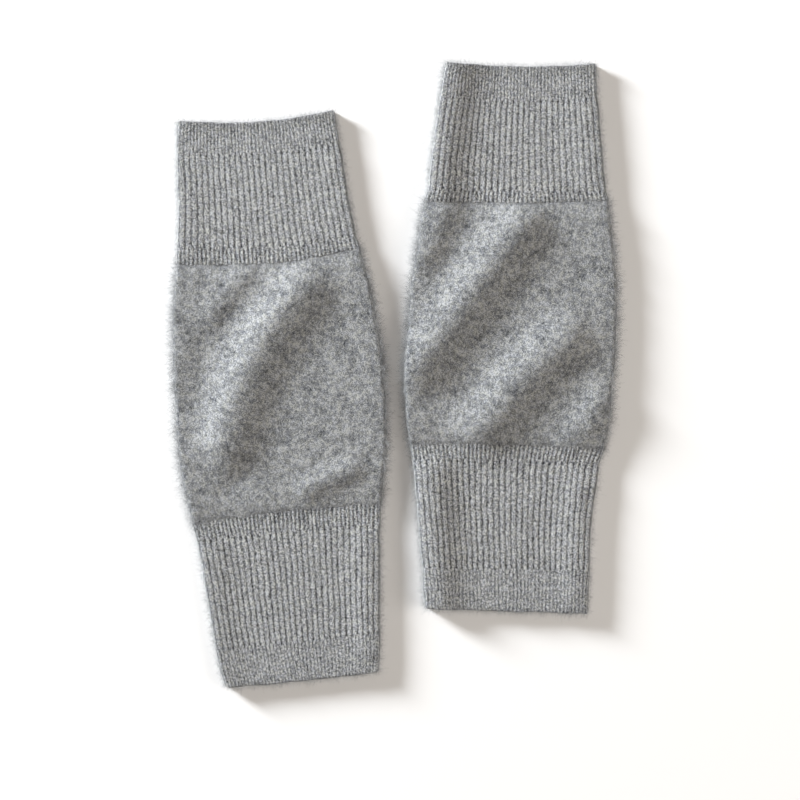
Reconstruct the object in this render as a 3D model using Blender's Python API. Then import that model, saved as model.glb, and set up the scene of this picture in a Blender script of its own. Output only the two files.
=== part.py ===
"""A pair of knitted leg warmers, laid flat side by side.

Each one is a tube of wool knit that lies pressed flat: an upper rib cuff, a brushed plain body and a
lower rib cuff that ends in a hem. The tube's front lies on its back, and the cloth rolls round at both
sides. All sizes are in millimetres until add_piece turns them into metres. +Y points to the upper
cuffs and +Z up, and the origin is under the middle of the pair, on the surface that it lies on.

A column is one column of stitches. On a tube with N columns across its front, columns 0 to N cross
the front from the left fold to the right one, and columns N to 2N come back along the underside.
"""

import math
from collections import namedtuple

import bmesh
import bpy

MM = 0.001

# The cloth, in mm.
CUFF_CLOTH = 2.2  # one layer of rib knit, at the ribs' crests
BODY_CLOTH = 2.6  # one layer of brushed knit, with its nap
CUFF_HEIGHT = 5.4  # both layers and the air between them, at a cuff's middle
BODY_PUFF = 1.0  # how much higher the body's middle stands than a cuff's
SEAM_PUFF = 0.4  # the share of that which the body already has at its seams
PUFF_REACH = 5.0  # how far from a seam the body takes to fill out
CUFF_ROLL = 3.2  # how far the cloth takes to roll round at a side fold
BODY_ROLL = 4.6
SIDE_LIFT = 0.3  # how much higher the cloth stands beside a fold than in the middle
SIDE_LIFT_AT = 8.0  # how far in from the fold that is highest
SIDE_LIFT_WIDTH = 8.0
ROLL_BLUNTNESS = 0.8  # 1 would make the fold round, and less makes it squarer
CORNER_EASE = 1.6  # how far a tube's mouth draws back at its folds
SEAM_GAP = 0.3  # between two pieces that are joined by a seam

# The knit's columns of stitches.
UPPER_COLUMNS = 90  # across the front of an upper cuff and of the body: 30 wide ribs or 45 fine ones
LOWER_COLUMNS = 93  # across the front of a lower cuff: 31 wide ribs
FINE_RIB = 2  # columns in a fine rib: one raised, one sunk
WIDE_RIB = 3  # columns in a wide rib: two raised, one sunk
ROLL_COLUMNS = 4  # from the outermost point of a fold to the flat beside it

# How closely the solids follow the cloth.
BODY_STEP = 3  # columns from one point to the next across the body's front
INNER_STEP = 9  # columns from one point to the next on the plain inner face
UNDER_STEP = 27  # columns from one point to the next under the flat underside
BODY_ROW = 7.0  # from one ring of points to the next along the body
BAND_CHANGE = 0.8  # how far from a band's end its ribs have their full shape

WOOL = {  # base colour, roughness
    "rib_knit": ((0.33, 0.335, 0.34), 0.95),
    "brushed_knit": ((0.29, 0.295, 0.30), 1.0),
}

# A course is one row of stitches. left and right are its ends at the two folds, seen from above, and
# bow is how far its middle hangs towards the foot. The places are measured from the middle of the view.
Course = namedtuple("Course", "name left_x left_y right_x right_y bow")
COURSES = {
    "left": (
        Course("upper_edge", -133.2, 167.4, -39.3, 173.6, 3.9),
        Course("rib_start", -133.8, 148.2, -35.7, 153.9, 3.6),
        Course("upper_middle", -133.2, 119.4, -31.5, 125.4, 3.3),
        Course("rib_end", -133.5, 91.8, -25.8, 98.1, 3.6),
        Course("upper_seam", -133.9, 81.9, -24.0, 91.5, 4.8),
        Course("thigh", -135.9, 60.0, -17.7, 68.4, 3.0),
        Course("above_knee", -136.2, 36.0, -13.5, 43.8, 1.8),
        Course("knee", -135.6, 9.0, -9.9, 17.4, 0.9),
        Course("below_knee", -133.8, -18.0, -8.1, -9.0, 0.0),
        Course("calf", -131.1, -45.0, -8.4, -34.2, -0.9),
        Course("lower_seam", -124.2, -74.4, -11.1, -62.1, -1.6),
        Course("low_rib_start", -121.8, -83.1, -11.7, -73.8, 0.0),
        Course("lower_middle", -115.2, -120.0, -11.7, -109.2, 0.0),
        Course("hem_start", -110.4, -148.8, -11.7, -139.5, 0.3),
        Course("hem_edge", -104.4, -172.2, -12.3, -163.2, 0.6),
    ),
    "right": (
        Course("upper_edge", 26.4, 202.2, 117.6, 201.3, 2.1),
        Course("rib_start", 23.7, 181.8, 118.5, 181.5, 3.0),
        Course("upper_middle", 19.2, 151.2, 120.9, 151.2, 1.8),
        Course("rib_end", 16.2, 125.1, 123.6, 124.5, 0.4),
        Course("upper_seam", 14.7, 119.1, 124.8, 119.7, 1.5),
        Course("thigh", 9.6, 91.2, 127.8, 91.2, 0.6),
        Course("above_knee", 5.4, 57.0, 129.9, 57.0, 0.0),
        Course("knee", 2.7, 21.0, 128.1, 21.0, 0.0),
        Course("below_knee", 3.0, -6.0, 126.0, -6.0, 0.0),
        Course("lower_seam", 5.7, -26.1, 122.4, -29.4, -1.0),
        Course("low_rib_start", 7.2, -36.0, 119.4, -38.7, -1.4),
        Course("lower_middle", 10.5, -72.0, 114.9, -72.0, 0.0),
        Course("hem_start", 12.9, -100.5, 113.7, -101.4, 0.0),
        Course("hem_edge", 14.4, -124.8, 112.5, -128.1, 0.0),
    ),
}

# A band is a stretch of a cuff in one rib stitch, between two courses.
Band = namedtuple("Band", "start end rib depth")
UPPER_BANDS = (
    Band("upper_edge", "rib_start", FINE_RIB, 0.45),
    Band("rib_start", "rib_end", WIDE_RIB, 0.8),
    Band("rib_end", "upper_seam", FINE_RIB, 0.6),
)
LOWER_BANDS = (
    Band("lower_seam", "low_rib_start", FINE_RIB, 0.6),
    Band("low_rib_start", "hem_start", WIDE_RIB, 0.8),
    Band("hem_start", "hem_edge", FINE_RIB, 0.35),
)

# A fold is a soft ridge, or a trough where its height is below 0, along the line from 0 to 1. The
# line's middle is bowed this far to the left of the way from 0 to 1.
Fold = namedtuple("Fold", "x0 y0 x1 y1 bow width height")
FOLD_FLATNESS = 2.2  # 2 would be a bell shape, and more makes a flatter top with steeper sides
FOLDS = {
    "left": (
        Fold(-102.0, -26.0, -56.0, 69.0, 6.5, 15.0, 3.2),
        Fold(-110.0, -22.0, -66.0, 65.0, 6.5, 8.0, 0.8),
        Fold(-128.0, -4.0, -98.0, 56.0, 3.0, 10.0, -0.9),
        Fold(-112.0, 50.0, -94.0, 76.0, 0.0, 8.0, 1.1),
        Fold(-102.0, -54.0, -92.0, -42.0, 0.0, 8.0, -0.8),
        Fold(-56.0, -50.0, -33.0, -35.0, 0.0, 9.0, 1.5),
        Fold(-116.0, -95.0, -108.0, -160.0, 0.0, 11.0, 0.8),
    ),
    "right": (
        Fold(13.0, 23.0, 72.0, 103.0, 0.0, 14.5, 3.8),
        Fold(50.0, -18.0, 98.0, 36.0, 3.0, 15.0, 3.5),
        Fold(104.0, -24.0, 119.0, -2.0, 0.0, 10.0, 1.8),
        Fold(15.0, 88.0, 27.0, 114.0, 0.0, 10.0, 1.9),
        Fold(31.0, 200.0, 20.0, 128.0, 0.0, 16.0, 1.6),
        Fold(108.0, 175.0, 114.0, 135.0, 0.0, 11.0, 0.4),
        Fold(18.0, -45.0, 22.0, -125.0, 0.0, 16.0, 1.4),
        Fold(108.0, -55.0, 106.0, -115.0, 0.0, 10.0, 0.5),
    ),
}


def view_middle():
    """The middle of the pair's outline, in the view that the courses are measured in."""
    courses = [course for side in COURSES.values() for course in side]
    across = [course.left_x for course in courses] + [course.right_x for course in courses]
    along = [course.left_y for course in courses] + [course.right_y for course in courses]
    return (min(across) + max(across)) / 2, (min(along) + max(along)) / 2


def smooth(places, values, at):
    """The value at a place on the smooth curve through all the values."""
    last = len(places) - 1
    slopes = []
    for i in range(last + 1):
        before, after = max(i - 1, 0), min(i + 1, last)
        slopes.append((values[after] - values[before]) / (places[after] - places[before]))
    i = max(0, min(last - 1, sum(place <= at for place in places) - 1))
    span = places[i + 1] - places[i]
    t = (at - places[i]) / span
    return (
        values[i] * (1 + 2 * t) * (1 - t) ** 2
        + values[i + 1] * t * t * (3 - 2 * t)
        + span * (slopes[i] * t * (1 - t) ** 2 - slopes[i + 1] * t * t * (1 - t))
    )


class Warmer:
    """The flat tube of one leg warmer, as a place for each column of stitches at each distance along it."""

    def __init__(self, side):
        self.courses = COURSES[side]
        self.folds = FOLDS[side]
        self.along = [0.0]
        for upper, lower in zip(self.courses, self.courses[1:]):
            step = math.dist(self.middle_of(upper), self.middle_of(lower))
            self.along.append(self.along[-1] + step)

    @staticmethod
    def middle_of(course):
        return (course.left_x + course.right_x) / 2, (course.left_y + course.right_y) / 2

    def at(self, name):
        """How far along the tube a named course lies, from the upper edge."""
        return self.along[[course.name for course in self.courses].index(name)]

    def course(self, along):
        """The course at a distance along the tube."""
        columns = list(zip(*self.courses))[1:]
        return Course("between", *(smooth(self.along, column, along) for column in columns))

    def fullness(self, along):
        """0 on the cuffs, and 1 where the body has filled out."""
        from_seam = min(along - self.at("upper_seam"), self.at("lower_seam") - along)
        return 1 - (1 - SEAM_PUFF) * math.exp(-from_seam / PUFF_REACH) if from_seam > 0 else 0.0

    def fold_height(self, x, y):
        """How much the folds raise the front at a point seen from above."""
        height = 0.0
        for fold in self.folds:
            length = math.dist((fold.x0, fold.y0), (fold.x1, fold.y1))
            run_x, run_y = (fold.x1 - fold.x0) / length, (fold.y1 - fold.y0) / length
            along = (x - fold.x0) * run_x + (y - fold.y0) * run_y
            t = max(0.0, min(1.0, along / length))
            beyond = along - t * length
            aside = (y - fold.y0) * run_x - (x - fold.x0) * run_y - fold.bow * 4 * t * (1 - t)
            height += fold.height * math.exp(-((math.hypot(beyond, aside) / fold.width) ** FOLD_FLATNESS))
        return height

    def mouth_ease(self, along):
        """How far this course draws back at its folds. Only a course near a mouth of the tube does."""
        near = math.exp(-along / CORNER_EASE) - math.exp((along - self.along[-1]) / CORNER_EASE)
        return CORNER_EASE * near

    def place(self, along, column, front_columns, inset):
        """The point at a column of stitches, this far in from the cloth's outer face."""
        course = self.course(along)
        width = math.dist((course.left_x, course.left_y), (course.right_x, course.right_y))
        across_x = (course.right_x - course.left_x) / width
        across_y = (course.right_y - course.left_y) / width
        fullness = self.fullness(along)
        roll = CUFF_ROLL + (BODY_ROLL - CUFF_ROLL) * fullness

        column %= 2 * front_columns
        on_front = column <= front_columns
        column = column if on_front else 2 * front_columns - column
        from_fold = min(column, front_columns - column)
        if from_fold < ROLL_COLUMNS:
            turn = math.pi / 2 * from_fold / ROLL_COLUMNS
            rise = math.sin(turn) ** ROLL_BLUNTNESS
            inward = inset + (roll - inset) * (1 - abs(math.cos(turn)) ** ROLL_BLUNTNESS)
        else:
            rise = 1.0
            flat_columns = front_columns / 2 - ROLL_COLUMNS
            inward = roll + (from_fold - ROLL_COLUMNS) / flat_columns * (width / 2 - roll)
        across = inward if column <= front_columns / 2 else width - inward
        share = across / width
        hang = course.bow * 4 * share * (1 - share) + self.mouth_ease(along) * (1 - rise)
        x = course.left_x + across_x * across + across_y * hang
        y = course.left_y + across_y * across - across_x * hang

        beside_fold = (max(inward, roll) - SIDE_LIFT_AT) / SIDE_LIFT_WIDTH
        height = (
            CUFF_HEIGHT
            + BODY_PUFF * fullness
            + SIDE_LIFT * math.exp(-(beside_fold**2))
            + self.fold_height(x, y)
        )
        half = height / 2
        return x, y, half + (half - inset if on_front else inset - half) * rise


def rib_sink(column, front_columns, rib, depth):
    """How far a column lies below the ribs' crests. The ribs fade out where the cloth meets the floor."""
    if column % rib:
        return 0.0
    beyond_fold = max(-column, column - front_columns, 0)
    return depth * max(0.0, 1 - beyond_fold / ROLL_COLUMNS)


def steps(start, end, step):
    """Even steps of about this size from the start up to the end, without the end."""
    count = max(1, round((end - start) / step))
    return [start + (end - start) * i / count for i in range(count)]


def ring_columns(front_columns, fold_step, front_step):
    """The columns that have points: in steps round the folds and over the front, and few underneath."""
    front_start, front_end = ROLL_COLUMNS, front_columns - ROLL_COLUMNS
    under_start, under_end = front_columns + ROLL_COLUMNS, 2 * front_columns - ROLL_COLUMNS
    return (
        steps(-ROLL_COLUMNS, front_start, fold_step)
        + steps(front_start, front_end, front_step)
        + steps(front_end, under_start, fold_step)
        + steps(under_start, under_end, UNDER_STEP)
    )


def cuff_rings(warmer, bands, front_columns, start, end):
    """The rings of a rib cuff, each a (distance along, [(column, sink)]), where its stitch changes."""
    rings = []
    columns = ring_columns(front_columns, fold_step=1, front_step=1)
    for band in bands:
        first = start if band is bands[0] else warmer.at(band.start) + BAND_CHANGE
        last = end if band is bands[-1] else warmer.at(band.end) - BAND_CHANGE
        sinks = [rib_sink(column, front_columns, band.rib, band.depth) for column in columns]
        halves = 2 if band.rib == WIDE_RIB else 1
        for i in range(halves + 1):
            rings.append((first + (last - first) * i / halves, list(zip(columns, sinks))))
    return rings


def body_rings(start, end):
    """The rings of the plain body, close together beside its seams, where it fills out."""
    columns = ring_columns(UPPER_COLUMNS, fold_step=2, front_step=BODY_STEP)
    beside_seam = BODY_ROW / 3
    stops = [start] + steps(start + beside_seam, end - beside_seam, BODY_ROW) + [end - beside_seam, end]
    return [(stop, [(column, 0.0) for column in columns]) for stop in stops]


def zip_ring(bm, outer, inner, lap, outwards):
    """Closes a wall's end between its two rings of (column, vertex). A lap is all the tube's columns."""

    def point(ring, i):
        laps, place = divmod(i, len(ring))
        column, vertex = ring[place]
        return column + laps * lap, vertex

    i = j = 0
    while i < len(outer) or j < len(inner):
        corners = [point(outer, i)[1], point(inner, j)[1]]
        next_outer, next_inner = point(outer, i + 1), point(inner, j + 1)
        if j == len(inner) or (i < len(outer) and next_outer[0] <= next_inner[0]):
            i += 1
            corners.append(next_outer[1])
        else:
            j += 1
            corners.append(next_inner[1])
        bm.faces.new(corners if outwards else corners[::-1])


def wall(warmer, rings, front_columns, cloth, origin):
    """A closed tube wall through the rings, with the same plain inner face whatever its outer one."""
    bm = bmesh.new()

    def vertex(along, column, inset):
        x, y, z = warmer.place(along, column, front_columns, inset)
        return bm.verts.new(((x - origin[0]) * MM, (y - origin[1]) * MM, z * MM))

    inner_columns = ring_columns(front_columns, fold_step=ROLL_COLUMNS, front_step=INNER_STEP)
    outer = [[(column, vertex(along, column, sink)) for column, sink in ring] for along, ring in rings]
    inner = [[(column, vertex(along, column, cloth)) for column in inner_columns] for along, _ in rings]
    for face, outwards in ((outer, True), (inner, False)):
        for upper, lower in zip(face, face[1:]):
            for i in range(len(upper)):
                here, there = i - 1, i
                corners = (upper[here][1], lower[here][1], lower[there][1], upper[there][1])
                bm.faces.new(corners if outwards else corners[::-1])
    lap = 2 * front_columns
    zip_ring(bm, outer[0], inner[0], lap, True)
    zip_ring(bm, outer[-1], inner[-1], lap, False)
    return bm


def add_piece(name, bm, material, parent):
    bmesh.ops.recalc_face_normals(bm, faces=bm.faces)
    mesh = bpy.data.meshes.new(name)
    bm.to_mesh(mesh)
    bm.free()
    mesh.materials.append(material)
    mesh.shade_smooth()
    mesh.set_sharp_from_angle(angle=math.radians(50))
    piece = bpy.data.objects.new(name, mesh)
    piece.parent = parent
    bpy.context.scene.collection.objects.link(piece)


def wool(name):
    colour, roughness = WOOL[name]
    material = bpy.data.materials.new(name)
    material.use_nodes = True
    shader = material.node_tree.nodes["Principled BSDF"]
    shader.inputs["Base Color"].default_value = (*colour, 1)
    shader.inputs["Roughness"].default_value = roughness
    shader.inputs["Metallic"].default_value = 0.0
    return material


def build_warmer(side, materials):
    """One leg warmer: upper cuff, body and lower cuff, held by an empty under its knee."""
    warmer = Warmer(side)
    knee = next(course for course in warmer.courses if course.name == "knee")
    origin = Warmer.middle_of(knee)
    middle = view_middle()
    holder = bpy.data.objects.new(f"{side}_warmer", None)
    holder.location = ((origin[0] - middle[0]) * MM, (origin[1] - middle[1]) * MM, 0)
    bpy.context.scene.collection.objects.link(holder)

    half_gap = SEAM_GAP / 2
    upper_seam, lower_seam = warmer.at("upper_seam"), warmer.at("lower_seam")
    upper = cuff_rings(warmer, UPPER_BANDS, UPPER_COLUMNS, 0.0, upper_seam - half_gap)
    body = body_rings(upper_seam + half_gap, lower_seam - half_gap)
    lower = cuff_rings(warmer, LOWER_BANDS, LOWER_COLUMNS, lower_seam + half_gap, warmer.along[-1])
    for piece, rings, columns, cloth, knit in (
        ("upper_cuff", upper, UPPER_COLUMNS, CUFF_CLOTH, "rib_knit"),
        ("body", body, UPPER_COLUMNS, BODY_CLOTH, "brushed_knit"),
        ("lower_cuff", lower, LOWER_COLUMNS, CUFF_CLOTH, "rib_knit"),
    ):
        bm = wall(warmer, rings, columns, cloth, origin)
        add_piece(f"{side}_{piece}", bm, materials[knit], holder)


def main():
    for obj in list(bpy.data.objects):
        bpy.data.objects.remove(obj)
    materials = {name: wool(name) for name in WOOL}
    for side in COURSES:
        build_warmer(side, materials)


main()
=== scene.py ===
"""The looks of a pair of knitted leg warmers that lie flat on a pale surface, seen from straight above.

Each warmer is a tube of grey marl wool, pressed flat: an upper rib cuff, a brushed body and a lower rib
cuff. A tube's form is worked out from its courses, which are its rows of stitches, and from its columns
of stitches. On a tube with N columns across its front, columns 0 to N cross the front from the left fold
to the right one, and columns N to 2N come back along the underside.

Cloth sizes are in millimetres, and make_mesh turns them into metres.
"""

import math
from collections import namedtuple

import bpy
import numpy as np
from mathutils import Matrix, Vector


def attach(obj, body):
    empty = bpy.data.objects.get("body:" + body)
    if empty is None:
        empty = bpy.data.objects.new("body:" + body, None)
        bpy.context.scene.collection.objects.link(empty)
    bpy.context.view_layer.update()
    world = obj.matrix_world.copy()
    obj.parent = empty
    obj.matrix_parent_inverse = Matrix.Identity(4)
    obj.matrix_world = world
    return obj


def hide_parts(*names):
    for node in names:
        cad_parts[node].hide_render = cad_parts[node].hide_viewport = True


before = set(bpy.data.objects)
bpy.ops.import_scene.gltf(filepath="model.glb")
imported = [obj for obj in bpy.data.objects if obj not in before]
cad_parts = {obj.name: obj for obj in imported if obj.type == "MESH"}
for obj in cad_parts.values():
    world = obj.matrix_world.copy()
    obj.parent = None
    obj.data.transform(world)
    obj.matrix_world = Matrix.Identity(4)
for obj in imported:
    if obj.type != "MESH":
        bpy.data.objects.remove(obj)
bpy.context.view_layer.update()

MM = 0.001

# ---- The cloth's form, in mm ----------------------------------------------------------------------

CUFF_CLOTH = 2.2  # one layer of rib knit, at the ribs' crests
BODY_CLOTH = 2.6  # one layer of brushed knit
CUFF_HEIGHT = 5.4  # both layers and the air between them, at a cuff's middle
BODY_PUFF = 1.2  # how much higher the body's middle stands than a cuff's
SEAM_PUFF = -0.15  # the share of that at the upper seam, where the stitching draws the cloth in
PUFF_REACHES = (4.5, 9.0)  # how far from the upper and the lower seam the body takes to fill out
CUFF_ROLL = 2.6  # how far the cloth takes to roll round at its left fold
BODY_ROLL = 3.8
RIGHT_ROLL = 0.62  # of that, at its right fold
SIDE_LIFT = 0.3  # how much higher the cloth stands beside a fold than in the middle
SIDE_LIFT_AT = 8.0  # how far in from the fold that is highest
SIDE_LIFT_WIDTH = 8.0
ROLL_BLUNTNESS = 0.8  # 1 would make the fold round, and less makes it squarer
CORNER_EASE = 1.6  # how far a tube's mouth draws back at its folds
SEAM_GAP = 0.02  # between two pieces that are joined by a seam
SEAM_LIP = 0.1  # how far from its end a piece rounds over into a seam
MOUTH_LIP = 1.0  # the same at a tube's mouth
SEAM_STRAY = 0.45  # how far the line of a seam strays
SEAM_STRAY_CELL = 1.6  # from one of its strays to the next
SEAM_STRAY_REACH = 1.5  # how far from the seam the cloth strays with it
WOBBLES = ((9.0, 0.35), (2.8, 0.14))  # how the cloth strays in its own plane: over how far, and how much
WOBBLE_SEEDS = (31, 41)  # for its strays along x and y
SEAM_SEED = 51

UPPER_COLUMNS = 90  # across the front of an upper cuff and of the body: 30 wide ribs
LOWER_COLUMNS = 96  # across the front of a lower cuff: 32 wide ribs
ROLL_COLUMNS = 4  # from the outermost point of a fold to the flat beside it
COURSE = 0.86  # from one row of stitches to the next

# left and right are a course's ends at the two folds, and bow is how far its middle hangs towards the
# foot. The places are measured from the middle of the view.
Course = namedtuple("Course", "name left_x left_y right_x right_y bow")
COURSES = {
    "left": (
        Course("upper_edge", -133.2, 167.4, -39.3, 173.6, 3.9),
        Course("rib_start", -133.8, 148.2, -35.7, 153.9, 3.6),
        Course("upper_middle", -133.2, 119.4, -31.5, 125.4, 3.3),
        Course("rib_end", -133.5, 91.8, -25.8, 98.1, 3.6),
        Course("upper_seam", -133.9, 81.9, -24.0, 91.5, 4.8),
        Course("thigh", -135.9, 60.0, -17.7, 68.4, 3.0),
        Course("above_knee", -136.2, 36.0, -13.5, 43.8, 1.8),
        Course("knee", -135.6, 9.0, -9.9, 17.4, 0.9),
        Course("below_knee", -133.8, -18.0, -8.1, -9.0, 0.0),
        Course("calf", -131.1, -45.0, -8.4, -34.2, -0.9),
        Course("lower_seam", -124.2, -74.4, -11.1, -62.1, -1.6),
        Course("low_rib_start", -121.8, -83.1, -11.7, -73.8, 0.0),
        Course("lower_middle", -115.2, -120.0, -11.7, -109.2, 0.0),
        Course("hem_start", -110.4, -148.8, -11.7, -139.5, 0.3),
        Course("hem_edge", -104.4, -172.2, -12.3, -163.2, 0.6),
    ),
    "right": (
        Course("upper_edge", 26.4, 202.2, 117.6, 201.3, 2.1),
        Course("rib_start", 23.7, 181.8, 118.5, 181.5, 3.0),
        Course("upper_middle", 19.2, 151.2, 120.9, 151.2, 1.8),
        Course("rib_end", 16.2, 125.1, 123.6, 124.5, 0.4),
        Course("upper_seam", 14.7, 119.1, 124.8, 119.7, 1.5),
        Course("thigh", 9.6, 91.2, 127.8, 91.2, 0.6),
        Course("above_knee", 5.4, 57.0, 129.9, 57.0, 0.0),
        Course("knee", 2.7, 21.0, 128.1, 21.0, 0.0),
        Course("below_knee", 3.0, -6.0, 126.0, -6.0, 0.0),
        Course("lower_seam", 5.7, -26.1, 122.4, -29.4, -1.0),
        Course("low_rib_start", 7.2, -36.0, 119.4, -38.7, -1.4),
        Course("lower_middle", 10.5, -72.0, 114.9, -72.0, 0.0),
        Course("hem_start", 12.9, -100.5, 113.7, -101.4, 0.0),
        Course("hem_edge", 14.4, -124.8, 112.5, -128.1, 0.0),
    ),
}

# A fold is a soft ridge, or a trough where its height is below 0, along the line from 0 to 1. The
# line's middle is bowed this far to the left of the way from 0 to 1.
Fold = namedtuple("Fold", "x0 y0 x1 y1 bow width height")
FOLD_FLATNESS = 2.2  # 2 would be a bell shape, and more makes a flatter top with steeper sides
FOLDS = {
    "left": (
        Fold(-102.0, -26.0, -58.0, 64.0, 6.5, 15.0, 5.0),
        Fold(-110.0, -22.0, -66.0, 65.0, 6.5, 8.0, 1.0),
        Fold(-128.0, -4.0, -98.0, 56.0, 3.0, 10.0, -0.9),
        Fold(-112.0, 50.0, -94.0, 76.0, 0.0, 8.0, 1.4),
        Fold(-102.0, -54.0, -92.0, -42.0, 0.0, 8.0, -0.8),
        Fold(-55.0, -53.0, -30.0, -42.0, 0.0, 7.5, 2.1),
    ),
    "right": (
        Fold(13.0, 23.0, 71.0, 103.0, 0.0, 14.5, 5.8),
        Fold(50.0, -18.0, 98.0, 36.0, 3.0, 15.0, 5.5),
        Fold(104.0, -24.0, 119.0, -2.0, 0.0, 10.0, 2.4),
        Fold(15.0, 88.0, 27.0, 114.0, 0.0, 10.0, 2.4),
    ),
}
# The cuffs' own, which the cloth of the body doesn't take up
CUFF_FOLDS = {
    "left": (
        Fold(-116.0, -95.0, -108.0, -160.0, 0.0, 11.0, 0.8),
        Fold(-20.0, -90.0, -20.0, -150.0, 0.0, 9.0, 0.8),
    ),
    "right": (
        Fold(31.0, 200.0, 22.0, 128.0, 0.0, 14.0, 3.2),
        Fold(108.0, 175.0, 114.0, 135.0, 0.0, 11.0, 0.6),
        Fold(19.0, -45.0, 23.0, -125.0, 0.0, 13.0, 3.0),
        Fold(106.0, -55.0, 104.0, -115.0, 0.0, 10.0, 1.1),
    ),
}
SEAM_HOLD = 0.4  # how much of a body fold's height the seams take away

# A band is a stretch of a cuff in one rib stitch. Its rib is so many columns wide. Its painted shade darkens
# the yarn's colour in its grooves, standing in for the shade that falls there.
Band = namedtuple("Band", "start end rib depth shade")
WIDE_RIB, FINE_RIB = 3, 2
EDGE_RIB = 2 * UPPER_COLUMNS / 98  # 98 ribs all round
UPPER_BANDS = (
    Band("upper_edge", "rib_start", EDGE_RIB, 0.15, 0.21),
    Band("rib_start", "rib_end", WIDE_RIB, 0.23, 0.25),
    Band("rib_end", "upper_seam", FINE_RIB, 0.24, 0.26),
)
LOWER_BANDS = (
    Band("lower_seam", "low_rib_start", FINE_RIB, 0.24, 0.26),
    Band("low_rib_start", "hem_start", WIDE_RIB, 0.25, 0.275),
    Band("hem_start", "hem_edge", FINE_RIB, 0.1, 0.2),
)
BAND_CHANGE = 0.7  # how far from a band's end its ribs have their full shape
BAND_STEEPNESS = 4.0  # of that change
GROOVE_WIDTH = 0.17  # of a wide rib's pitch
FINE_GROOVE_SHARPNESS = 1.3  # 1 would make a fine rib's groove as wide as its crest
NOTCH = 0.8  # how much deeper a wide groove is at its ends, as a share of its depth; its painted shade grows darker by the same share
NOTCH_REACH = 0.7  # how far in from a band's end its grooves are deepest, and how far that reaches
# How a rib strays from its straight line: over how many columns and mm, and by how many columns
RIB_WANDERS = ((7.0, 9.0, 0.12), (2.5, 3.5, 0.06))
RIB_START_WANDER = 0.8  # how far a rib's start strays from its band's
RIB_START_CELL = 1.5  # from one such stray to the next, in columns
DEPTH_WANDER = 0.2  # how much a groove's depth varies, as a share of it
DEPTH_CELL = (3.0, 6.0)  # over how many columns and mm
RIM_SCALLOP = 0.5  # how far a groove draws back from a tube's mouth, as a share of its depth

# The brushed cloth's soft bumps: over how many columns and mm, and how high beside each other
BODY_BUMPS = ((4.5, 6.0, 1.0), (1.8, 2.4, 0.6))
BODY_DIP = 0.16  # how far the brushed cloth's face lies below its highest places, on the whole
BODY_DIP_CHANGE = 0.13  # how much that changes with the bumps
BODY_DIP_PAINTED_SHADE = 0.4  # painted shade and light: for each mm deeper than BODY_DIP a dip's colour is this much darker, and for each mm shallower this much paler

NOISE_CELLS = 512  # each way, before the noise comes round again
NOISE_START = 64.0  # the cell at the origin


def soft_noise(across, along, cell_across, cell_along, seed):
    """Smooth noise from -1 to 1, with cells of these sizes. Arrays are broadcast together."""
    u, v = np.broadcast_arrays(across / cell_across, along / cell_along)
    u, v = u + NOISE_START, v + NOISE_START
    cells = NOISE_CELLS
    values = np.random.default_rng(seed).uniform(-1, 1, (cells, cells))
    i, j = np.floor(u).astype(int), np.floor(v).astype(int)
    s, t = u - i, v - j
    s, t = s * s * (3 - 2 * s), t * t * (3 - 2 * t)
    corner = [values[(i + a) % cells, (j + b) % cells] for a in (0, 1) for b in (0, 1)]
    near = corner[0] * (1 - t) + corner[1] * t
    far = corner[2] * (1 - t) + corner[3] * t
    return near * (1 - s) + far * s


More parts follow.
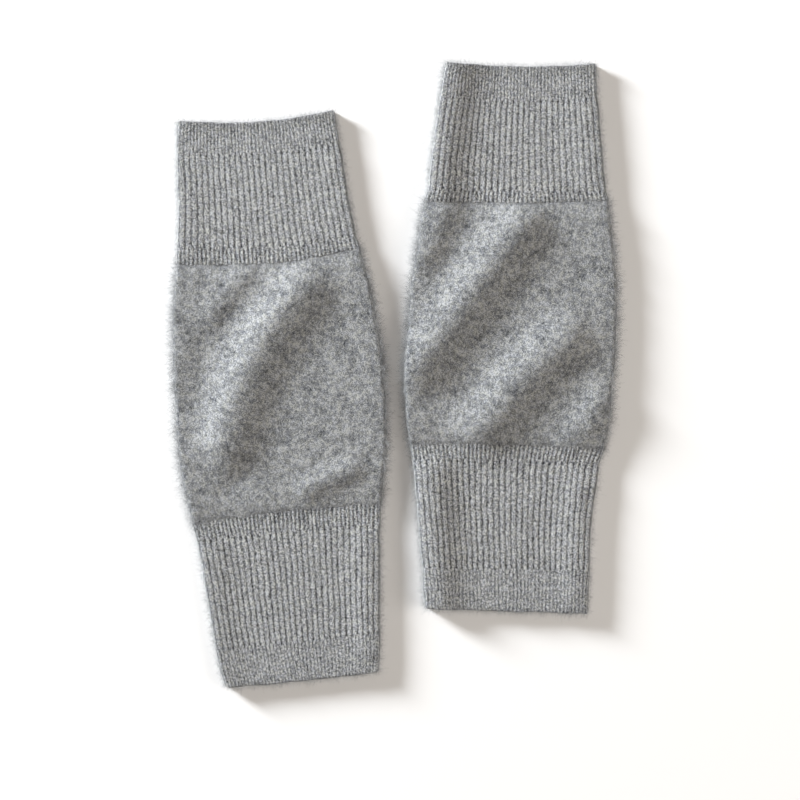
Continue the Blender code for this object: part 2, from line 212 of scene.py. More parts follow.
class Warmer:
    """One leg warmer's flat tube, as a place for each column at each distance along it, both as arrays."""

    def __init__(self, side):
        self.side = side
        self.names = [course.name for course in COURSES[side]]
        self.table = np.array([course[1:] for course in COURSES[side]])
        middles = (self.table[:, 0:2] + self.table[:, 2:4]) / 2
        steps = np.linalg.norm(np.diff(middles, axis=0), axis=1)
        self.along = np.concatenate([[0.0], np.cumsum(steps)])
        rises, runs = np.empty_like(self.table), np.empty_like(self.along)
        rises[1:-1], runs[1:-1] = self.table[2:] - self.table[:-2], self.along[2:] - self.along[:-2]
        rises[0], runs[0] = self.table[1] - self.table[0], steps[0]
        rises[-1], runs[-1] = self.table[-1] - self.table[-2], steps[-1]
        self.slopes = rises / runs[:, None]

    def at(self, name):
        """How far along the tube a named course lies, from the upper edge."""
        return self.along[self.names.index(name)]

    def course(self, along):
        """left_x, left_y, right_x, right_y and bow on the smooth curves through the courses."""
        i = np.clip(np.searchsorted(self.along, along, side="right") - 1, 0, len(self.along) - 2)
        span = (self.along[i + 1] - self.along[i])[..., None]
        t = (np.asarray(along) - self.along[i])[..., None] / span
        row = (
            self.table[i] * (1 + 2 * t) * (1 - t) ** 2
            + self.table[i + 1] * t * t * (3 - 2 * t)
            + span * (self.slopes[i] * t * (1 - t) ** 2 - self.slopes[i + 1] * t * t * (1 - t))
        )
        return np.moveaxis(row, -1, 0)

    def fullness(self, along):
        """0 on the cuffs, and 1 where the body has filled out."""
        below, above = along - self.at("upper_seam"), self.at("lower_seam") - along
        full = 1 - (1 - SEAM_PUFF) * np.exp(-np.maximum(below, 0) / PUFF_REACHES[0])
        full = full * (1 - np.exp(-np.maximum(above, 0) / PUFF_REACHES[1]))
        return np.where((below > 0) & (above > 0), full, 0.0)

    def fold_height(self, folds, x, y):
        """How much these folds raise the front at points seen from above."""
        height = np.zeros_like(x)
        for fold in folds:
            length = math.dist((fold.x0, fold.y0), (fold.x1, fold.y1))
            run_x, run_y = (fold.x1 - fold.x0) / length, (fold.y1 - fold.y0) / length
            along = (x - fold.x0) * run_x + (y - fold.y0) * run_y
            t = np.clip(along / length, 0, 1)
            beyond = along - t * length
            aside = (y - fold.y0) * run_x - (x - fold.x0) * run_y - fold.bow * 4 * t * (1 - t)
            height += fold.height * np.exp(-((np.hypot(beyond, aside) / fold.width) ** FOLD_FLATNESS))
        return height

    def place(self, along, column, front_columns, inset):
        """Points at columns of stitches, this far in from the cloth's outer face, as an array of x, y, z."""
        along, column, inset = np.broadcast_arrays(along, column, inset)
        left_x, left_y, right_x, right_y, bow = self.course(along)
        width = np.hypot(right_x - left_x, right_y - left_y)
        across_x, across_y = (right_x - left_x) / width, (right_y - left_y) / width
        column = column % (2 * front_columns)
        on_front = column <= front_columns
        column = np.where(on_front, column, 2 * front_columns - column)
        fullness = self.fullness(along)
        roll = CUFF_ROLL + (BODY_ROLL - CUFF_ROLL) * fullness
        roll = np.maximum(roll * np.where(column > front_columns / 2, RIGHT_ROLL, 1), inset)
        from_fold = np.minimum(column, front_columns - column)
        turn = math.pi / 2 * np.minimum(from_fold / ROLL_COLUMNS, 1)
        rise = np.sin(turn) ** ROLL_BLUNTNESS
        rolled = inset + (roll - inset) * (1 - np.abs(np.cos(turn)) ** ROLL_BLUNTNESS)
        flat_columns = front_columns / 2 - ROLL_COLUMNS
        laid = roll + (from_fold - ROLL_COLUMNS) / flat_columns * (width / 2 - roll)
        inward = np.where(from_fold < ROLL_COLUMNS, rolled, laid)
        across = np.where(column <= front_columns / 2, inward, width - inward)
        share = across / width
        mouth = np.exp(-along / CORNER_EASE) - np.exp((along - self.along[-1]) / CORNER_EASE)
        hang = bow * 4 * share * (1 - share) + CORNER_EASE * mouth * (1 - rise)
        from_seam = np.minimum(np.abs(along - self.at("upper_seam")), np.abs(along - self.at("lower_seam")))
        seam_stray = soft_noise(across, across * 0, SEAM_STRAY_CELL, 1, SEAM_SEED)
        hang = hang + SEAM_STRAY * seam_stray * np.exp(-((from_seam / SEAM_STRAY_REACH) ** 2))
        x = left_x + across_x * across + across_y * hang
        y = left_y + across_y * across - across_x * hang
        for number, (reach, size) in enumerate(WOBBLES):
            stray_x = size * soft_noise(x, y, reach, reach, WOBBLE_SEEDS[0] + number)
            stray_y = size * soft_noise(x, y, reach, reach, WOBBLE_SEEDS[1] + number)
            x, y = x + stray_x, y + stray_y
        beside_fold = (np.maximum(inward, roll) - SIDE_LIFT_AT) / SIDE_LIFT_WIDTH
        height = CUFF_HEIGHT + BODY_PUFF * fullness + SIDE_LIFT * np.exp(-(beside_fold**2))
        held = 1 - SEAM_HOLD * (1 - np.clip(fullness, 0, 1))
        height = height + held * self.fold_height(FOLDS[self.side], x, y)
        half = (height + self.fold_height(CUFF_FOLDS[self.side], x, y)) / 2
        z = half + np.where(on_front, half - inset, inset - half) * rise
        return np.stack([x, y, z], axis=-1)


def view_middle():
    """The middle of the pair's outline, in the view that the courses are measured in."""
    ends = np.array([course[1:5] for side in COURSES.values() for course in side])
    across, along = ends[:, [0, 2]], ends[:, [1, 3]]
    return np.array([(across.min() + across.max()) / 2, (along.min() + along.max()) / 2, 0.0])


MIDDLE = view_middle()


# ---- The knit's relief ---------------------------------------------------------------------------


def groove(column, rib):
    """1 in the groove between two ribs, 0 on their crests."""
    phase = column / rib - np.round(column / rib)
    if rib == WIDE_RIB:
        return np.exp(-((phase / GROOVE_WIDTH) ** 2))
    return (0.5 + 0.5 * np.cos(2 * math.pi * phase)) ** FINE_GROOVE_SHARPNESS


def rib_relief(warmer, bands, along, column, seed):
    """How far the ribs' surface lies below their crests, and how much painted shade darkens its yarn in the
    grooves.
    """
    wander = 0
    for number, (columns, reach, size) in enumerate(RIB_WANDERS):
        wander = wander + size * soft_noise(column, along, columns, reach, seed + number)
    strayed = column + wander
    depth_share = 1 + DEPTH_WANDER * soft_noise(column, along, *DEPTH_CELL, seed + 2)
    stray = RIB_START_WANDER * soft_noise(column, along * 0, RIB_START_CELL, 1, seed + 3)
    far_in = BAND_CHANGE * 3
    inset, shade, weights = 0, 0, 0
    for band in bands:
        start, end = warmer.at(band.start), warmer.at(band.end)
        into = np.minimum(
            (along - start + stray) if band is not bands[0] else far_in,
            (end - along - stray) if band is not bands[-1] else far_in,
        )
        weight = 1 / (1 + np.exp(-BAND_STEEPNESS * into / BAND_CHANGE))
        notch = NOTCH * np.exp(-(((into - NOTCH_REACH) / NOTCH_REACH) ** 2)) * (band.rib == WIDE_RIB)
        in_groove = weight * groove(strayed, band.rib) * (depth_share + notch)
        inset = inset + in_groove * band.depth
        shade = shade + in_groove * band.shade
        weights = weights + weight
    return inset / weights, shade / weights


# ---- Meshes --------------------------------------------------------------------------------------

KNIT_MAP = "knit"  # a piece's surface in stitches: columns across, courses along
PAINTED_SHADE = "shade"  # painted shade: how much the yarn's colour is darkened in the grooves and dips, and lightened on the brushed cloth's bumps, in place of the shade and light that fall there
BAKE_MAP = "OFBake"  # the same surface, all of it inside one unit square
BAKE_MARGIN = 0.01  # of that square's side
INNER_STEP = 6.0  # from one row of points to the next on a tube's inner face
LIP_ROWS = 8  # of points round a wall's end
RELIEF_FADE = 1.5  # how fast the relief fades through the wall: 1 would take it all


def make_mesh(name, points, faces, materials, face_slots=None, maps=None, painted_shades=None):
    """A smooth mesh object from points in mm in the view's frame, in the part's own frame in metres."""
    mesh = bpy.data.meshes.new(name)
    mesh.from_pydata(((points - MIDDLE) * MM).tolist(), [], faces.tolist())
    for material in materials:
        mesh.materials.append(material)
    if face_slots is not None:
        mesh.polygons.foreach_set("material_index", face_slots)
    for map_name, places in (maps or {}).items():
        mesh.uv_layers.new(name=map_name).data.foreach_set("uv", places.ravel())
    # painted shade: how much darker the colour is drawn in the grooves and dips, and paler on the bumps
    if painted_shades is not None:
        mesh.attributes.new(PAINTED_SHADE, "FLOAT", "POINT").data.foreach_set("value", painted_shades.ravel())
    mesh.shade_smooth()
    mesh.update()
    piece = bpy.data.objects.new(name, mesh)
    bpy.context.scene.collection.objects.link(piece)
    return piece


def closed_tube(name, points, columns, courses, painted_shades, material):
    """A mesh that is closed both ways, from rows and columns of points. columns and courses have one more
    place than the points do: where the first ones come round again."""
    rows_count, columns_count = points.shape[:2]
    down, right = np.array([0, 1, 1, 0]), np.array([0, 0, 1, 1])
    row = np.arange(rows_count)[:, None, None] + down
    column = np.arange(columns_count)[None, :, None] + right
    row, column = np.broadcast_arrays(row, column)
    faces = (row % rows_count) * columns_count + column % columns_count
    knit = np.stack([columns[column], courses[row]], axis=-1)
    shares = [(values - values[0]) / (values[-1] - values[0]) for values in (columns, courses)]
    bake = np.stack([shares[0][column], 1 - shares[1][row]], axis=-1) * (1 - 2 * BAKE_MARGIN) + BAKE_MARGIN
    maps = {KNIT_MAP: knit, BAKE_MAP: bake}
    return make_mesh(name, points.reshape(-1, 3), faces.reshape(-1, 4), [material], maps=maps, painted_shades=painted_shades)


def shell_columns(front_columns, top_points, under_points):
    """Columns round a tube, with this many points in each column on top and underneath."""
    top = np.arange(-ROLL_COLUMNS, front_columns + ROLL_COLUMNS, 1 / top_points)
    under = np.arange(front_columns + ROLL_COLUMNS, 2 * front_columns - ROLL_COLUMNS, 1 / under_points)
    return np.concatenate([top, under])


def rounded_end(edge, lip, cloth, outwards):
    """A wall's end, from its outer face round to its inner one, as places along and depths."""
    turn = np.linspace(0, math.pi, LIP_ROWS)
    depth = lip * (1 - np.abs(np.cos(turn)))
    return edge + outwards * lip * (np.sin(turn) - 1), np.where(turn < math.pi / 2, depth, cloth - depth)


def build_shell(name, warmer, front_columns, ends, lips, cloth, columns, outer, relief_at, material):
    """The whole wall of one tube: both faces and its rounded ends. Returns it, its outer points and how far
    along the tube each row of them lies."""
    start, end = ends
    head_along, head_depth = (values[::-1] for values in rounded_end(start, lips[0], cloth, -1))
    foot_along, foot_depth = rounded_end(end, lips[1], cloth, 1)
    inner = np.arange(end - lips[1] - INNER_STEP, start + lips[0] + INNER_STEP / 2, -INNER_STEP)
    along = np.concatenate([head_along, outer, foot_along, inner])
    depth = np.concatenate([head_depth, outer * 0, foot_depth, inner * 0 + cloth])
    steps = np.hypot(np.diff(along, append=along[0]), np.diff(depth, append=depth[0]))
    courses = (start + np.concatenate([[0], np.cumsum(steps)])) / COURSE

    along, depth, column = along[:, None], depth[:, None], columns[None, :]
    # relief is the knit's depth, and the second value is the shade painted into its colour in grooves and
    # dips
    relief, shade = relief_at(along, column)
    drawn = np.exp(-np.abs(along - start)) * (lips[0] == MOUTH_LIP)
    drawn = drawn - np.exp(-np.abs(end - along)) * (lips[1] == MOUTH_LIP)
    inset = depth + relief * np.clip(1 - RELIEF_FADE * depth / cloth, 0, 1)
    points = warmer.place(along + RIM_SCALLOP * drawn * relief, column, front_columns, inset)
    round_columns = np.append(columns, columns[0] + 2 * front_columns)
    piece = closed_tube(name, points, round_columns, courses, shade, material)
    rows = len(along) - len(inner)
    return piece, points[:rows], along[:rows, 0]


# ---- Materials -----------------------------------------------------------------------------------


class Shader:
    """Builds a material's nodes, from values and other nodes' outputs."""

    def __init__(self, name):
        self.material = bpy.data.materials.new(name)
        self.material.use_nodes = True
        self.tree = self.material.node_tree
        self.surface = self.tree.nodes["Principled BSDF"]

    def node(self, kind, inputs, output=0, **settings):
        made = self.tree.nodes.new(kind)
        for key, value in settings.items():
            setattr(made, key, value)
        for key, value in inputs.items():
            if isinstance(value, bpy.types.NodeSocket):
                self.tree.links.new(value, made.inputs[key])
            else:
                made.inputs[key].default_value = value
        return made.outputs[output]

    def math(self, operation, *values):
        return self.node("ShaderNodeMath", dict(enumerate(values)), operation=operation)

    def noise(self, place, size, detail=2.0, roughness=0.5, distortion=0.0):
        """Noise from 0 to 1 with spots of this size, in the same unit as place."""
        inputs = {"Vector": place, "Scale": 0.5 / size, "Detail": detail, "Roughness": roughness}
        return self.node("ShaderNodeTexNoise", {**inputs, "Distortion": distortion}, normalize=True)

    def flecks(self, place, size):
        """Small patches of this size, each with a random value from 0 to 1."""
        inputs = {"Vector": place, "Scale": 1 / size, "Randomness": 1.0}
        colour = self.node("ShaderNodeTexVoronoi", inputs, output="Color", voronoi_dimensions="2D")
        return self.node("ShaderNodeSeparateXYZ", {"Vector": colour})

    def stretched(self, place, x, y):
        return self.node("ShaderNodeVectorMath", {0: place, 1: (x, y, 1.0)}, operation="MULTIPLY")

    def ramp(self, value, places, colours):
        made = self.tree.nodes.new("ShaderNodeValToRGB")
        self.tree.links.new(value, made.inputs["Fac"])
        elements = made.color_ramp.elements
        while len(elements) < len(places):
            elements.new(0.5)
        for element, place, colour in zip(elements, places, colours):
            element.position = place
            element.color = (*colour, 1)
        return made.outputs["Color"]


STITCH_LEAN = 0.55  # how many rows a stitch's yarn climbs from its column's middle to its side
STITCH_WAVE = 0.35  # how much lower the cloth lies between two rows, as a share of a stitch's height, halved


def stitches(shader, knit):
    """The height of knit stitches, 0 to 1: in each column, two rows of yarn that lean together."""
    parts = shader.node("ShaderNodeSeparateXYZ", {"Vector": knit}).node
    across = shader.math("FRACT", shader.math("ADD", parts.outputs["X"], 0.5))
    from_middle = shader.math("MULTIPLY", shader.math("ABSOLUTE", shader.math("SUBTRACT", across, 0.5)), 2.0)
    leg = shader.math("SUBTRACT", shader.math("MULTIPLY", from_middle, 2.0), 1.0)
    round_leg = shader.math("SUBTRACT", 1.0, shader.math("MULTIPLY", leg, leg))
    leaning = shader.math("MULTIPLY_ADD", from_middle, STITCH_LEAN, parts.outputs["Y"])
    wave = shader.math("COSINE", shader.math("MULTIPLY", leaning, 2 * math.pi))
    return shader.math("MULTIPLY", round_leg, shader.math("MULTIPLY_ADD", wave, STITCH_WAVE, 1 - STITCH_WAVE))


FRAY = 0.25  # mm: how far the flecks' outlines stray
FRAY_SCALE = 2.5  # of the noise that they stray by, in 1/mm
CLUMP_OCTAVES = (2.0, 0.6)  # the detail and roughness of the clumps' noise
TONE_PLACES = (-1.0, -0.3, 0.35, 1.0)  # where the four tones stand, from the darkest to the palest
HUE_SPOT = 1.4  # mm: how large a spot of warmer or cooler yarn is
TINT_PLACES = (0.35, 0.5, 0.65)
TINTS = ((1.015, 1.01, 0.965), (1.0, 1.0, 1.0), (0.98, 0.99, 1.03))


def wool(name, pitch, tones, look):
    """Grey marl wool: dark, middling and pale fibres spun together. pitch is a column's width in mm."""
    shader = Shader(name)
    knit = shader.node("ShaderNodeUVMap", {}, uv_map=KNIT_MAP)
    cloth = shader.stretched(knit, pitch, COURSE)
    stray = {"Vector": cloth, "Scale": FRAY_SCALE, "Detail": 1.0}
    stray = shader.node("ShaderNodeTexNoise", stray, output="Color")
    frayed = {0: stray, 1: (FRAY, FRAY, 0.0), 2: cloth}
    frayed = shader.node("ShaderNodeVectorMath", frayed, operation="MULTIPLY_ADD")
    grain = shader.stretched(frayed, *look["stretch"])
    flecks = shader.flecks(grain, look["fleck"])
    specks = shader.noise(grain, look["speck"], *look["speck_octaves"])
    clumps = shader.noise(cloth, look["clump"], *CLUMP_OCTAVES)
    tone = shader.math("MULTIPLY", specks, look["speck_share"])
    tone = shader.math("MULTIPLY_ADD", flecks, look["fleck_share"], tone)
    tone = shader.math("MULTIPLY_ADD", clumps, look["clump_share"], tone)
    # The mesh's painted shade darkens the tone in the grooves and dips, and lightens it on the brushed
    # cloth's bumps
    shade = shader.node("ShaderNodeAttribute", {}, output="Fac", attribute_name=PAINTED_SHADE)
    tone = shader.math("SUBTRACT", tone, shade)
    middle = (look["speck_share"] + look["fleck_share"] + look["clump_share"]) / 2
    places = [middle + look["spread"] * place for place in TONE_PLACES]
    colour = shader.ramp(tone, places, tones)
    hue = shader.noise(cloth, HUE_SPOT, 1.0, 0.5)
    tint = shader.ramp(hue, TINT_PLACES, TINTS)
    tinted = shader.node("ShaderNodeVectorMath", {0: colour, 1: tint}, operation="MULTIPLY")
    shader.tree.links.new(tinted, shader.surface.inputs["Base Color"])
    height = shader.math("MULTIPLY_ADD", stitches(shader, knit), look["stitch_height"], specks)
    bump = {"Height": height, "Strength": 1.0, "Distance": look["relief"] * MM}
    shader.tree.links.new(shader.node("ShaderNodeBump", bump), shader.surface.inputs["Normal"])
    shader.surface.inputs["Roughness"].default_value = 1.0
    shader.surface.inputs["Specular IOR Level"].default_value = 0.12
    shader.surface.inputs["Sheen Weight"].default_value = look["nap"]
    shader.surface.inputs["Sheen Roughness"].default_value = 0.45
    shader.surface.inputs["Sheen Tint"].default_value = (0.92, 0.94, 0.96, 1)
    return shader.material


def plain(name, colour, roughness=1.0):
    shader = Shader(name)
    shader.surface.inputs["Base Color"].default_value = (*colour, 1)
    shader.surface.inputs["Roughness"].default_value = roughness
    shader.surface.inputs["Specular IOR Level"].default_value = 0.1
    return shader.material


# The tones run from the darkest yarn to the palest
RIB_TONES = ((0.018, 0.02, 0.024), (0.201, 0.208, 0.218), (0.374, 0.382, 0.388), (0.542, 0.552, 0.551))
NAP_TONES = ((0.02, 0.023, 0.027), (0.162, 0.169, 0.178), (0.289, 0.297, 0.302), (0.398, 0.407, 0.409))
# A wool's look: how its flecks and specks are squeezed across and along, the size in mm of its flecks,
# specks and clumps of unlike yarn, and how much of the tone each gives. spread takes the tone from its
# middle to either end. relief is the bump's depth in mm for a speck, and stitch_height is how high a stitch
# stands beside a speck. nap is the weight of the sheen.
RIB_LOOK = {
    "stretch": (1.35, 0.85),
    "fleck": 0.42,
    "fleck_share": 0.66,
    "speck": 0.62,
    "speck_share": 0.86,
    "speck_octaves": (3.0, 0.65),
    "clump": 4.0,
    "clump_share": 0.24,
    "spread": 0.48,
    "stitch_height": 0.7,
    "relief": 0.12,
    "nap": 0.15,
}
NAP_LOOK = {
    "stretch": (1.12, 0.94),
    "fleck": 0.48,
    "fleck_share": 0.4,
    "speck": 1.9,
    "speck_share": 1.0,
    "speck_octaves": (4.0, 0.75),
    "clump": 5.0,
    "clump_share": 0.36,
    "spread": 0.39,
    "stitch_height": 0.1,
    "relief": 0.1,
    "nap": 0.2,
}
rib_knit = wool("rib_knit", 1.14, RIB_TONES, RIB_LOOK)
brushed_knit = wool("brushed_knit", 1.45, NAP_TONES, NAP_LOOK)
# Fibres that stand up catch the low light far better than the cloth does, so their wool is darker
FIBRES = [
    plain("pale_fibre", (0.44, 0.45, 0.46)),
    plain("grey_fibre", (0.27, 0.275, 0.285)),
    plain("dark_fibre", (0.12, 0.124, 0.132)),
]
FIBRE_SHARES = (0.3, 0.45, 0.25)


# ---- The fuzz ------------------------------------------------------------------------------------

# A nap is a lot of fibres: how many, how long and how wide in mm, how far they lift, how they are shared
# between the top, the outline and the seams, and how much they curl
Nap = namedtuple("Nap", "count length width lift top outline seams curl")
OUTLINE_REACH = 2.0  # how many columns from a side fold, or mm from a mouth, the outline's fibres root
SEAM_REACH = 1.6  # mm: the same from a seam
RISES = (0.1, 1.0)  # the least and the most that a fibre lifts, as a share of its nap's lift
LENGTHS = (0.4, 1.3)  # the same for its length
SAG = 0.15  # how much a fibre bends down towards its tip, for each bit of its rise
TWIST = 0.7  # how much the way that a fibre's flat side faces varies
BEND_AT = (0.0, 0.55, 1.0)  # where along a fibre its three pairs of points are
ROOT_DEPTH = 0.1  # mm: how far its root lies under the cloth's face
FLOOR_GAP = 0.05  # mm: how far above the surface the lowest fibres end


def fibres(grid, zones, nap, rng):
    """Fine fibres that stand off the cloth, as six points and four triangles each."""
    along_cloth, across_cloth = np.gradient(grid, axis=0), np.gradient(grid, axis=1)
    normal = np.cross(along_cloth, across_cloth)
    area = np.linalg.norm(normal, axis=-1)
    normal /= np.maximum(area, 1e-9)[..., None]
    top = np.clip(normal[..., 2] * 2, 0, 1)
    weight = area * (nap.top * top + nap.outline * zones["outline"] + nap.seams * top * zones["seams"])
    chosen = rng.choice(weight.size, size=nap.count, p=(weight / weight.sum()).ravel())
    i, j = np.unravel_index(chosen, weight.shape)
    spread = rng.uniform(-0.5, 0.5, (2, nap.count, 1))
    root = grid[i, j] + along_cloth[i, j] * spread[0] + across_cloth[i, j] * spread[1]
    up, side = normal[i, j], across_cloth[i, j]
    side = side / np.maximum(np.linalg.norm(side, axis=-1, keepdims=True), 1e-9)
    front = np.cross(up, side)
    turn = rng.uniform(0, 2 * math.pi, (nap.count, 1))
    rise = rng.uniform(*RISES, (nap.count, 1)) * nap.lift
    way = side * np.cos(turn) + front * np.sin(turn) + up * rise
    way /= np.linalg.norm(way, axis=-1, keepdims=True)
    bend = rng.normal(0, nap.curl, (nap.count, 3)) - up * rise * SAG
    reach = nap.length * rng.uniform(*LENGTHS, (nap.count, 1))
    flat = np.cross(way, up + rng.normal(0, TWIST, (nap.count, 3)))
    flat *= nap.width / 2 / np.linalg.norm(flat, axis=-1, keepdims=True)
    centres = [root - up * ROOT_DEPTH + reach * (way * t + bend * t * t * 0.5) for t in BEND_AT]
    points = np.stack([centre + flat * edge for centre in centres for edge in (-1, 1)], axis=1)
    points[..., 2] = np.maximum(points[..., 2], FLOOR_GAP)
    return points


def fuzz(name, grid, along, columns, front_columns, lips, naps, seed):
    """A piece's fibres, from its outer points, their rows' places along and their columns."""
    rng = np.random.default_rng(seed)
    on_top = np.minimum(columns, front_columns - columns)[None, :]
    from_fold = np.where(on_top < -ROLL_COLUMNS, -ROLL_COLUMNS, on_top)
    outline = np.exp(-(((from_fold - 1) / OUTLINE_REACH) ** 2)) * np.ones_like(along)[:, None]
    seams = np.zeros_like(outline)
    for lip, distance in zip(lips, (along - along.min(), along.max() - along)):
        if lip == MOUTH_LIP:
            near = np.exp(-((distance / OUTLINE_REACH) ** 2))[:, None] * (on_top > 0)
            outline = np.maximum(outline, near)
        else:
            seams = np.maximum(seams, (distance < SEAM_REACH)[:, None] * (on_top > 0))
    zones = {"outline": outline, "seams": seams}
    points = np.concatenate([fibres(grid, zones, nap, rng) for nap in naps])
    pattern = np.array([(0, 1, 3), (0, 3, 2), (2, 3, 5), (2, 5, 4)])
    faces = (np.arange(len(points))[:, None, None] * points.shape[1] + pattern).reshape(-1, 3)
    slots = np.repeat(rng.choice(len(FIBRES), len(points), p=FIBRE_SHARES), len(pattern))
    return make_mesh(name, points.reshape(-1, 3), faces, FIBRES, face_slots=slots)


# ---- The pieces ----------------------------------------------------------------------------------

# Points in each column, on top and underneath, and the mm from one row of points to the next
CUFF_TOP_POINTS, CUFF_UNDER_POINTS, CUFF_ROW, CUFF_FINE_ROW = 3, 1, 1.5, 0.6
BODY_TOP_POINTS, BODY_UNDER_POINTS, BODY_ROW = 1.6, 1, 1.1
FINE_ROWS_REACH = 2.5  # mm: how far from a change of bands the rows are fine
CUFF_NAPS = (
    Nap(4000, 0.9, 0.04, 0.5, 1, 0, 0, 0.4),
    Nap(5000, 3.4, 0.05, 1.8, 0, 1, 0, 0.5),
    Nap(1500, 1.0, 0.05, 0.4, 0, 0, 1, 0.4),
    Nap(100, 5.0, 0.05, 2.0, 0.1, 1, 0, 0.8),
)
BODY_NAPS = (
    Nap(9000, 1.0, 0.04, 0.4, 1, 0, 0, 0.4),
    Nap(9500, 4.6, 0.055, 2.0, 0, 1, 0, 0.5),
    Nap(4500, 1.6, 0.05, 0.5, 0, 0, 1, 0.4),
    Nap(160, 5.5, 0.05, 2.0, 0.1, 1, 0, 0.8),
)


def dress(piece, node_name, flat, fluff):
    """Hangs a finished piece and its fibres under the root, and hides the solid that it stands for."""
    for thing in (piece, fluff):
        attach(thing, "root")
    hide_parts(node_name)


def tube_cut(warmer, ends):
    """The cut of a tube, in metres: all round it on its mean width, and its length."""
    left_x, left_y, right_x, right_y, _ = warmer.course(np.linspace(*ends, 20))
    around = 2 * np.hypot(right_x - left_x, right_y - left_y).mean()
    return around * MM, (ends[1] - ends[0]) * MM


def build_cuff(warmer, name, bands, front_columns, ends, lips, seed):
    columns = shell_columns(front_columns, CUFF_TOP_POINTS, CUFF_UNDER_POINTS)
    changes = [warmer.at(band.start) for band in bands[1:]]
    outer = [ends[0] + lips[0] + CUFF_FINE_ROW]
    while outer[-1] < ends[1] - lips[1] - CUFF_FINE_ROW:
        near_change = min(abs(outer[-1] - change) for change in changes) < FINE_ROWS_REACH
        outer.append(outer[-1] + (CUFF_FINE_ROW if near_change else CUFF_ROW))
    outer = np.array(outer[:-1])

    def relief_at(along, column):
        return rib_relief(warmer, bands, along, column, seed)

    node_name = f"{warmer.side}_{name}"
    cloth = CUFF_CLOTH
    piece, grid, along = build_shell(
        node_name + "_knit", warmer, front_columns, ends, lips, cloth, columns, outer, relief_at, rib_knit
    )
    fluff = fuzz(node_name + "_fuzz", grid, along, columns, front_columns, lips, CUFF_NAPS, seed + 10)
    dress(piece, node_name, tube_cut(warmer, ends), fluff)


def build_body(warmer, ends, seed):
    columns = shell_columns(UPPER_COLUMNS, BODY_TOP_POINTS, BODY_UNDER_POINTS)
    lips = (SEAM_LIP, SEAM_LIP)
    rows = round((ends[1] - ends[0]) / BODY_ROW)
    outer = np.linspace(ends[0] + SEAM_LIP, ends[1] - SEAM_LIP, rows)[1:-1]

    def relief_at(along, column):
        bumps = 0
        for number, (columns_wide, reach, size) in enumerate(BODY_BUMPS):
            bumps = bumps + size * soft_noise(column, along, columns_wide, reach, seed + number)
        # The dips' painted shade: a darker colour where they are deeper than BODY_DIP, and a paler one where
        # they are shallower
        dips = np.maximum(BODY_DIP + BODY_DIP_CHANGE * bumps, 0)
        return dips, (dips - BODY_DIP) * BODY_DIP_PAINTED_SHADE

    node_name = f"{warmer.side}_body"
    cloth, count = BODY_CLOTH, UPPER_COLUMNS
    piece, grid, along = build_shell(
        node_name + "_knit", warmer, count, ends, lips, cloth, columns, outer, relief_at, brushed_knit
    )
    fluff = fuzz(node_name + "_fuzz", grid, along, columns, count, lips, BODY_NAPS, seed + 10)
    dress(piece, node_name, tube_cut(warmer, ends), fluff)


def build_warmer(side, seed):
    warmer = Warmer(side)
    top, upper_seam, lower_seam, hem = 0.0, warmer.at("upper_seam"), warmer.at("lower_seam"), warmer.along[-1]
    gap = SEAM_GAP / 2
    upper_lips, lower_lips = (MOUTH_LIP, SEAM_LIP), (SEAM_LIP, MOUTH_LIP)
    build_cuff(warmer, "upper_cuff", UPPER_BANDS, UPPER_COLUMNS, (top, upper_seam - gap), upper_lips, seed)
    build_body(warmer, (upper_seam + gap, lower_seam - gap), seed + 100)
    ends = (lower_seam + gap, hem)
    build_cuff(warmer, "lower_cuff", LOWER_BANDS, LOWER_COLUMNS, ends, lower_lips, seed + 200)


# ---- The surface, the light and the camera --------------------------------------------------------

VIEW_WIDTH = 0.480  # of the surface that the camera sees, in metres
LENS, SENSOR_WIDTH = 112.0, 36.0  # mm
WARM = (1.0, 0.94, 0.872)
ROOM = (0.188, 0.172, 0.156)  # the light from all round
SURFACE_DEPTH = 0.0001  # how far the surface lies below the origin, so that the two don't coincide

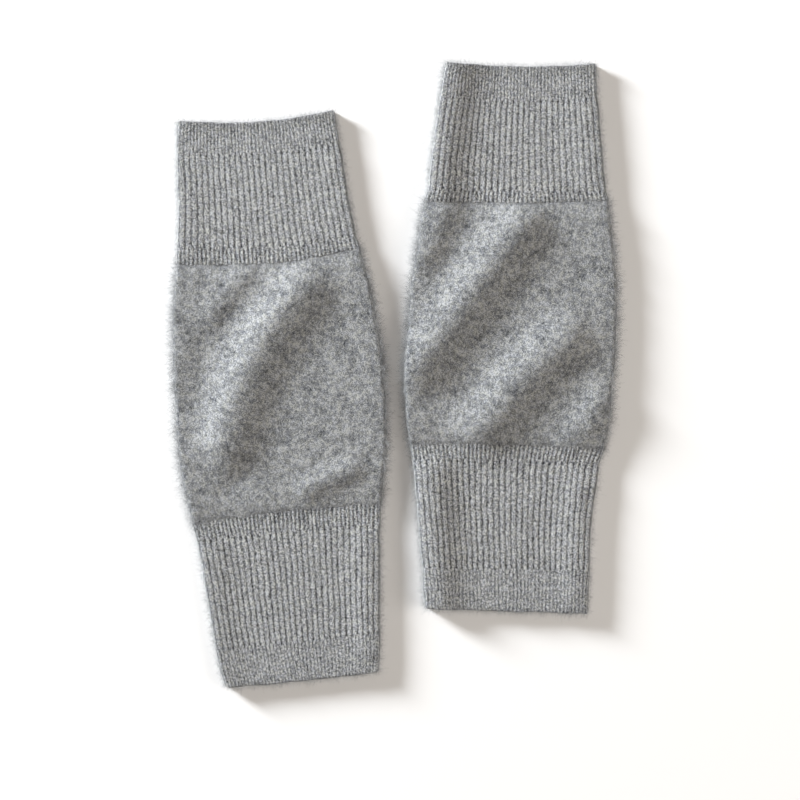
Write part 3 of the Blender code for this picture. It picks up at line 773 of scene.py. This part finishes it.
# A lamp is round. Its azimuth and elevation are in degrees, and its distance and size in metres. fall is
# how much of its light falls on the surface: 1 would show white as white.
Lamp = namedtuple("Lamp", "name azimuth elevation distance size fall colour")
LAMPS = (
    Lamp("window", 149, 14, 2.7, 0.65, 0.7, (0.975, 1.0, 1.025)),
    Lamp("ceiling", 0, 90, 2.6, 2.0, 0.13, WARM),
    Lamp("wall", -15, 26, 2.2, 1.4, 0.25, WARM),
)


def lay_surface():
    half = 3.0
    mesh = bpy.data.meshes.new("surface")
    corners = [(-half, -half), (half, -half), (half, half), (-half, half)]
    mesh.from_pydata([(x, y, -SURFACE_DEPTH) for x, y in corners], [], [(0, 1, 2, 3)])
    mesh.materials.append(plain("white_surface", (0.93, 0.93, 0.93), 0.9))
    surface = bpy.data.objects.new("surface", mesh)
    bpy.context.scene.collection.objects.link(surface)


def add_light(lamp):
    azimuth, elevation = math.radians(lamp.azimuth), math.radians(lamp.elevation)
    data = bpy.data.lights.new(lamp.name, "AREA")
    data.shape = "DISK"
    data.size = lamp.size
    data.energy = lamp.fall / math.sin(elevation) * math.pi * math.pi * lamp.distance**2
    data.color = lamp.colour
    light = bpy.data.objects.new(lamp.name, data)
    level = math.cos(elevation)
    towards = Vector((level * math.cos(azimuth), level * math.sin(azimuth), math.sin(elevation)))
    light.location = towards * lamp.distance
    light.rotation_mode = "QUATERNION"
    light.rotation_quaternion = towards.to_track_quat("Z", "Y")
    bpy.context.scene.collection.objects.link(light)


def add_room():
    world = bpy.data.worlds.new("room")
    world.use_nodes = True
    world.node_tree.nodes["Background"].inputs["Color"].default_value = (*ROOM, 1)
    world.node_tree.nodes["Background"].inputs["Strength"].default_value = 1.0
    bpy.context.scene.world = world


def add_camera():
    data = bpy.data.cameras.new("camera")
    data.sensor_width = SENSOR_WIDTH
    data.lens = LENS
    camera = bpy.data.objects.new("camera", data)
    distance = VIEW_WIDTH / 2 / (SENSOR_WIDTH / 2 / LENS)
    camera.location = (-MIDDLE[0] * MM, -MIDDLE[1] * MM, distance)
    bpy.context.scene.collection.objects.link(camera)
    bpy.context.scene.camera = camera


build_warmer("left", seed=1)
build_warmer("right", seed=1001)
lay_surface()
for lamp in LAMPS:
    add_light(lamp)
add_room()
add_camera()
bpy.context.scene.view_settings.view_transform = "Standard"
